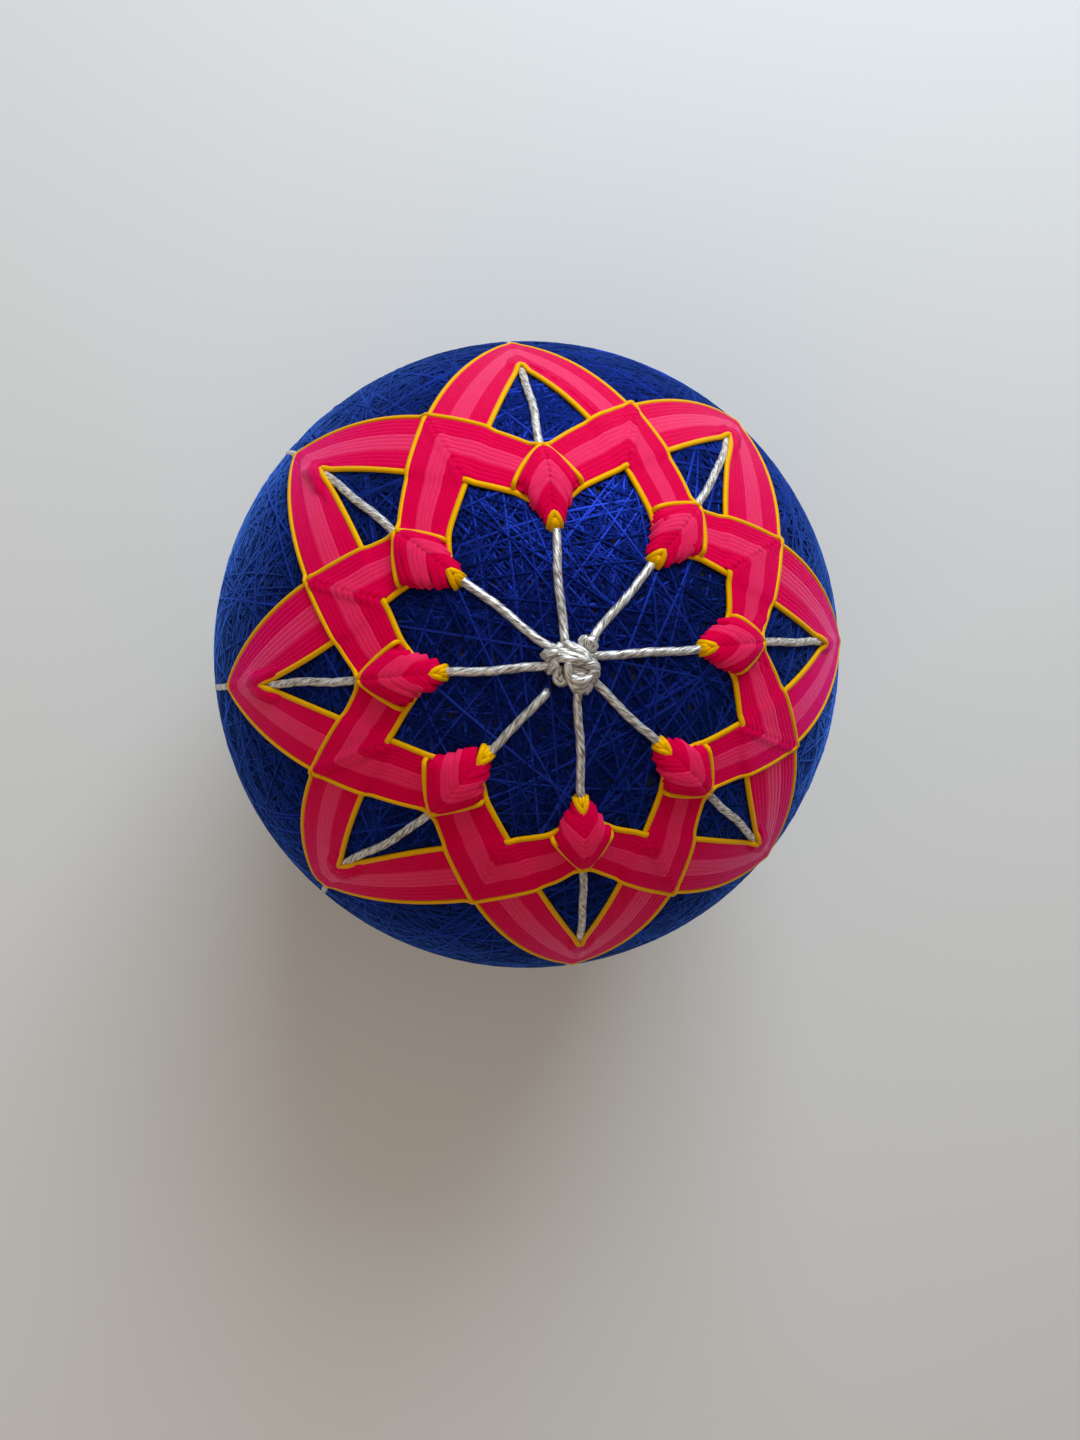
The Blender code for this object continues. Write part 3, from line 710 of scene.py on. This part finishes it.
# Straps of the knot: places along each in mm as seen from the camera, right, up and above the ball.
KNOT_STRAPS = (
    ((-1.6, 1.0, 0.5), (0.0, 0.6, 0.6), (1.6, 0.3, 0.5)),
    ((-0.4, -0.5, 0.9), (0.5, -0.75, 1.0), (1.6, -1.1, 0.9)),
    ((0.0, -0.9, 0.9), (0.7, -1.15, 1.0), (1.5, -1.4, 0.9)),
    ((0.2, -0.1, 0.9), (0.7, -0.35, 0.8), (1.5, -0.6, 0.8)),
    ((-0.9, -0.3, 0.9), (-1.25, -0.9, 0.8), (-1.35, -1.45, 0.6), (-1.05, -1.95, 0.4), (-0.55, -1.85, 0.5),
     (-0.45, -1.4, 0.7)),
    ((-1.2, -1.0, 0.5), (-0.95, -1.4, 0.7), (-0.6, -1.7, 0.4)),
    ((0.0, -1.9, 0.9), (0.5, -2.2, 1.1), (1.1, -2.1, 1.0), (1.6, -1.9, 0.7)),
    ((0.4, -2.6, 0.6), (0.9, -2.5, 0.9), (1.3, -2.4, 0.8), (1.35, -2.85, 0.4)),
    ((-1.2, 0.4, 1.3), (-1.5, 0.0, 1.2), (-1.6, -0.5, 0.9), (-1.9, -0.85, 0.4)),
    ((-1.9, 0.1, 0.6), (-1.75, -0.35, 1.0), (-2.1, -0.9, 0.3)),
    ((-0.9, 1.5, 0.8), (-1.3, 1.1, 1.2), (-1.9, 0.75, 1.1), (-2.35, 0.6, 0.6), (-2.3, 0.3, 0.3)),
    ((-2.3, 0.25, 0.5), (-1.7, 0.35, 1.1), (-0.9, 0.35, 1.5), (-0.1, 0.15, 1.6), (0.8, 0.0, 1.5),
     (1.6, -0.1, 1.3), (2.1, -0.3, 0.8)),
    ((-0.3, 0.0, 1.5), (-0.4, -0.5, 1.5), (-0.35, -1.1, 1.3), (-0.05, -1.7, 1.1), (0.3, -2.4, 0.8),
     (0.8, -2.8, 0.5)),
    ((1.1, -0.25, 1.4), (1.9, -0.30, 1.4), (2.35, -0.55, 1.0), (1.9, -0.80, 0.8)),
    ((1.5, -0.85, 1.2), (2.0, -0.90, 1.2), (2.40, -1.10, 0.9), (1.9, -1.30, 0.7)),
    ((1.3, -1.35, 1.2), (1.9, -1.40, 1.1), (2.15, -1.65, 0.7), (1.7, -1.85, 0.6)),
    ((1.2, -1.9, 1.0), (1.6, -2.0, 0.8), (1.6, -2.35, 0.6), (1.2, -2.8, 0.5)),
    ((-1.2, 0.75, 1.3), (-2.0, 0.75, 1.3), (-2.55, 0.70, 0.8), (-2.1, 0.45, 0.6)),
    ((-1.2, -0.1, 1.2), (-1.7, -0.50, 1.1), (-2.1, -0.95, 0.4)),
    ((-0.2, -1.3, 1.2), (0.4, -1.65, 1.4), (1.0, -1.75, 1.4), (1.7, -1.4, 1.2), (2.15, -1.0, 0.8)),
    ((-1.9, 1.4, 0.5), (-1.3, 0.95, 1.1), (-0.6, 0.75, 1.4), (0.1, 0.45, 1.5), (0.9, 0.15, 1.6),
     (1.7, 0.05, 1.3), (2.2, -0.35, 0.9), (2.0, -0.75, 0.5)),
    ((-0.6, 1.9, 0.5), (-0.35, 1.45, 1.0), (0.1, 1.05, 1.3), (0.6, 0.85, 1.4), (1.2, 0.6, 1.2),
     (1.9, 0.45, 0.7)),
    ((-0.1, 1.5, 0.6), (0.5, 1.15, 1.1), (1.0, 0.9, 1.2), (1.3, 0.35, 1.5), (1.6, -0.1, 1.3)),
    ((1.5, 1.45, 0.7), (1.05, 1.45, 0.5), (0.85, 1.8, 0.5), (1.15, 2.05, 0.6), (1.5, 1.95, 0.8)),
    ((2.3, 2.2, 0.3), (1.95, 1.95, 0.9), (1.45, 1.75, 1.0), (1.4, 1.3, 0.8), (1.75, 1.1, 0.9),
     (2.15, 1.35, 0.9), (1.9, 1.7, 1.1), (1.6, 1.5, 1.1)))


KNOT_FINE, KNOT_SOFT = 0.05 * MM, 0.16 * MM            # step between points while rounding, and how much


def knot_strands():
    """The straps of the knot as rounded paths over the top of the ball."""
    strands = []
    for strap in KNOT_STRAPS:
        x, y, high = np.array(strap).T
        wx, wy = seen_to_world(x, y)
        sag = (wx ** 2 + wy ** 2) * MM / (2 * BALL_R)
        points = np.stack([wx, wy, high - sag], -1) * MM + np.array([0, 0, CENTRE_Z + BALL_R])
        strands.append(resample(soften(resample(points, KNOT_FINE), KNOT_SOFT, KNOT_FINE), KNOT_STEP))
    return strands


def build_silver(material):
    """The eight cords and their knot."""
    strands = []
    for way, height in guide_paths:
        strands.append(resample(way * (BALL_R + height)[:, None] + CENTRE, CORD_STEP))
    section = twisted(CORD_SIDES, CORD_WIDE, CORD_TALL, CORD_PITCH)
    cords = tubes("silver_guide_cords", strands, section)
    level_off(cords, CORD_FLAT)
    knot = tubes("silver_pole_knot", knot_strands(), twisted(CORD_SIDES, KNOT_WIDE, KNOT_TALL, KNOT_PITCH))
    for piece in (cords, knot):
        piece.data.materials.append(material)
        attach(piece, "root")
        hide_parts("guide_threads")


def level_off(obj, low):
    """Press what lies below a level almost flat, so that the ball rests on it."""
    mesh = obj.data
    co = np.empty(len(mesh.vertices) * 3, np.float32)
    mesh.vertices.foreach_get("co", co)
    high = co[2::3]
    co[2::3] = np.where(high < low, low - PRESSED * (low - high), high)
    mesh.vertices.foreach_set("co", co)
    mesh.update()


# blue winding

def wrap_loops(count, low, high, segments):
    """Turns of thread round the ball in every direction, each a little off a great circle."""
    loops, levels = [], rng.uniform(low, high, count)
    for level in levels:
        pole = unit(rng.normal(size=3))
        a = unit(np.cross(pole, WRAP_AXIS))
        b = np.cross(pole, a)
        t = 2 * np.pi * np.arange(segments) / segments
        lean = rng.normal(0, WRAP_LEAN) + WRAP_WAVE * np.sin(
            t * rng.integers(WAVES_FROM, WAVES_BELOW) + rng.uniform(0, WAVE_START))
        way = unit(a * np.cos(t)[:, None] + b * np.sin(t)[:, None] + pole * lean[:, None])
        loops.append(way * (BALL_R + level) + CENTRE)
    return loops, levels


def build_winding(material, core_shade_material):
    """The core and three layers of loose turns round it."""
    core_mesh = bpy.data.meshes.new("wound_core")
    work = bmesh.new()
    bmesh.ops.create_icosphere(work, subdivisions=CORE_SPLITS, radius=BALL_R - CORE_DEPTH)
    bmesh.ops.translate(work, verts=work.verts, vec=(0, 0, CENTRE_Z))
    for vertex in work.verts:
        vertex.co.z = max(vertex.co.z, CORE_FLAT)
    for face in work.faces:
        face.smooth = True
    work.to_mesh(core_mesh)
    work.free()
    core = bpy.data.objects.new("wound_core", core_mesh)
    bpy.context.scene.collection.objects.link(core)
    core.data.materials.append(core_shade_material)
    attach(core, "root")
    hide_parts("wound_ball")
    for number, (count, low, high) in enumerate(WRAPS):
        loops, levels = wrap_loops(count, low * MM, high * MM, WRAP_POINTS)
        shades = SHADE_LOW + SHADE_SPAN * rng.random(count) ** SHADE_CURVE
        # Painted shade: the lower turns are darker, as they lie deeper under the others.
        shades = shades + PAINTED_DEPTH_SHADE * (levels / MM - GAIN_FROM) / GAIN_OVER
        section = pressed(WRAP_SIDES, WRAP_WIDE, WRAP_TALL)
        piece = tubes("blue_winding_%d" % (number + 1), loops, section, closed=True, shades=shades,
                      level=WRAP_LEVEL)
        level_off(piece, WRAP_FLAT)
        piece.data.materials.append(material)
        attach(piece, "root")


def shaded_core_material():
    """The winding that shows between the loose turns: dark navy thread, painted much darker as the
    shade between the turns.
    """
    mat = bpy.data.materials.new("blue winding in painted shade")
    mat.use_nodes = True
    tree = mat.node_tree
    shader = tree.nodes["Principled BSDF"]
    place = tree.nodes.new("ShaderNodeTexCoord")
    noise = tree.nodes.new("ShaderNodeTexNoise")
    noise.inputs["Scale"].default_value = CORE_GRAIN
    noise.inputs["Detail"].default_value = CORE_DETAIL
    tree.links.new(place.outputs["Object"], noise.inputs["Vector"])
    colour = mix_colour(tree, noise.outputs[0], SHADED_CORE_DARK, SHADED_CORE_LIGHT)
    tree.links.new(colour, shader.inputs["Base Color"])
    shader.inputs["Roughness"].default_value = CORE_ROUGH
    lift = tree.nodes.new("ShaderNodeBump")
    lift.inputs["Strength"].default_value = CORE_BUMP
    lift.inputs["Distance"].default_value = CORE_HIGH
    tree.links.new(noise.outputs[0], lift.inputs["Height"])
    tree.links.new(lift.outputs[0], shader.inputs["Normal"])
    return mat


# stage

def build_stage():
    mesh = bpy.data.meshes.new("floor")
    corners = [(x * FLOOR_HALF, y * FLOOR_HALF, FLOOR_LOW)
               for x, y in ((-1, -1), (1, -1), (1, 1), (-1, 1))]
    mesh.from_pydata(corners, [], [(0, 1, 2, 3)])
    floor = bpy.data.objects.new("floor", mesh)
    bpy.context.scene.collection.objects.link(floor)
    mat = bpy.data.materials.new("pale floor")
    mat.use_nodes = True
    shader = mat.node_tree.nodes["Principled BSDF"]
    shader.inputs["Base Color"].default_value = (*FLOOR_COLOUR, 1.0)
    shader.inputs["Roughness"].default_value = FLOOR_ROUGH
    mesh.materials.append(mat)


def area_light(name, place, size, energy, colour):
    data = bpy.data.lights.new(name, "AREA")
    data.size, data.energy, data.color = size, energy, colour
    lamp = bpy.data.objects.new(name, data)
    lamp.location = place
    lamp.rotation_euler = (Vector(LAMP_AIM) - Vector(place)).to_track_quat("-Z", "Y").to_euler()
    bpy.context.scene.collection.objects.link(lamp)


def build_light():
    world = bpy.data.worlds.new("room")
    bpy.context.scene.world = world
    world.use_nodes = True
    back = world.node_tree.nodes["Background"]
    back.inputs["Color"].default_value = (*ROOM_COLOUR, 1.0)
    place = world.node_tree.nodes.new("ShaderNodeTexCoord")
    split = world.node_tree.nodes.new("ShaderNodeSeparateXYZ")
    world.node_tree.links.new(place.outputs["Generated"], split.inputs[0])
    power = math_node(world.node_tree, "MULTIPLY_ADD", split.outputs[1], ROOM_SLOPE, ROOM_MEAN)
    world.node_tree.links.new(power, back.inputs["Strength"])
    for name, (place, size, energy, colour) in LAMPS.items():
        area_light(name, place, size, energy, colour)
    bpy.context.scene.view_settings.view_transform = "Standard"


# The photograph's size in pixels, and the film height in mm that stands for it.
PHOTO_WIDE, PHOTO_HIGH = 1080.0, 1440.0
FILM = 36.0

# Camera from the photograph's own lines: turns about X, Y and Z in degrees, the ball's centre in
# front of the lens in ball radii, focal length and middle of the picture in pixels.
CAMERA = {"a": 3.91, "b": 6.40, "c": 4.74, "x": -0.034, "y": 0.224, "far": 3.361,
          "focal": 1000.0, "middle": (537.5, 727.5)}


def build_camera():
    a, b, c = (math.radians(CAMERA[key]) for key in "abc")
    rx = np.array([[1, 0, 0], [0, math.cos(a), -math.sin(a)], [0, math.sin(a), math.cos(a)]])
    ry = np.array([[math.cos(b), 0, math.sin(b)], [0, 1, 0], [-math.sin(b), 0, math.cos(b)]])
    rz = np.array([[math.cos(c), -math.sin(c), 0], [math.sin(c), math.cos(c), 0], [0, 0, 1]])
    turn = rx @ ry @ rz
    offset = np.array([CAMERA["x"], CAMERA["y"], -CAMERA["far"]]) * BALL_R
    place = CENTRE - turn.T @ offset
    data = bpy.data.cameras.new("camera")
    data.sensor_fit = "VERTICAL"
    data.sensor_height = FILM
    data.lens = FILM * CAMERA["focal"] / PHOTO_HIGH
    data.shift_x = (PHOTO_WIDE / 2 - CAMERA["middle"][0]) / PHOTO_HIGH
    data.shift_y = (CAMERA["middle"][1] - PHOTO_HIGH / 2) / PHOTO_HIGH
    data.clip_start, data.clip_end = 0.005, 10.0
    camera = bpy.data.objects.new("camera", data)
    world = Matrix.Identity(4)
    for i in range(3):
        for j in range(3):
            world[i][j] = turn.T[i][j]
        world[i][3] = place[i]
    camera.matrix_world = world
    bpy.context.scene.collection.objects.link(camera)
    bpy.context.scene.camera = camera


# build

build_camera()
guide_paths = [guide_path(k) for k in range(8)]
fibres = fibre_group()
looks = {}
for kind, values in THREADS.items():
    looks[kind] = thread_material(kind + (" cord" if kind == "silver" else " thread"), fibres, **values)
for name, (strands, wide, tall) in build_star().items():
    # A round is named by its place, its colour and its star, so the colour is the last but one word.
    colour = name.split("_")[-2]
    piece = tubes(name + "_threads", strands, pressed(THREAD_SIDES, wide, tall),
                  level=0.0 if colour == "yellow" else BAND_LEVEL)
    piece.data.materials.append(looks[colour])
    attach(piece, "root")
    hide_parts(name)
build_silver(looks["silver"])
build_winding(looks["blue"], shaded_core_material())
build_stage()
build_light()
